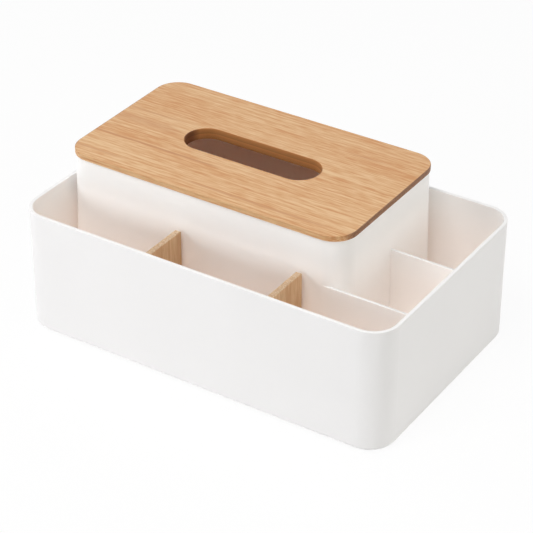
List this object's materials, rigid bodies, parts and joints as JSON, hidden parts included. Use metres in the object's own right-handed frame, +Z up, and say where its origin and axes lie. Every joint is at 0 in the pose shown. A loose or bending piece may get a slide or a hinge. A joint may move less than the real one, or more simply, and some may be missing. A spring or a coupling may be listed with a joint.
{
  "type": "tissue box organizer",
  "caption": "Rounded desktop tray that holds a lift-out tissue box under a slotted wooden lid, wooden dividers across its front bay and plastic partitions across its side bay.",
  "frame": {"origin": "on the surface that the organizer stands on, under the middle of the tray", "axes": "+X along the tray's length towards the side bay, +Y from the front bay to the back wall, +Z up"},
  "size_m": [0.31, 0.194, 0.1273],
  "materials": {
    "white_plastic": "moulded white polypropylene with a fine satin surface",
    "bamboo": "sanded bamboo board with fine straight grain and a thin matt lacquer",
    "pad_rubber": "soft translucent grey anti-slip pad"
  },
  "bodies": {
    "tray": {"tray": "white_plastic", "foot_pad_front_left": "pad_rubber", "foot_pad_front_right": "pad_rubber", "foot_pad_back_left": "pad_rubber", "foot_pad_back_right": "pad_rubber"},
    "tissue_box": {"tissue_box": "white_plastic", "front_partition": "white_plastic", "rear_partition": "white_plastic"},
    "lid": {"lid_top_board": "bamboo", "lid_locating_board": "bamboo"},
    "left_divider": {"left_divider": "bamboo"},
    "right_divider": {"right_divider": "bamboo"}
  },
  "joints": [
    {"name": "box_lift", "type": "slide", "parent": "tray", "child": "tissue_box", "axis": [0, 0, 1], "range_m": [0, 0.1]},
    {"name": "lid_lift", "type": "slide", "parent": "tissue_box", "child": "lid", "axis": [0, 0, 1], "range_m": [0, 0.06]},
    {"name": "left_divider_lift", "type": "slide", "parent": "tray", "child": "left_divider", "axis": [0, 0, 1], "range_m": [0, 0.1]},
    {"name": "right_divider_lift", "type": "slide", "parent": "tray", "child": "right_divider", "axis": [0, 0, 1], "range_m": [0, 0.1]}
  ]
}
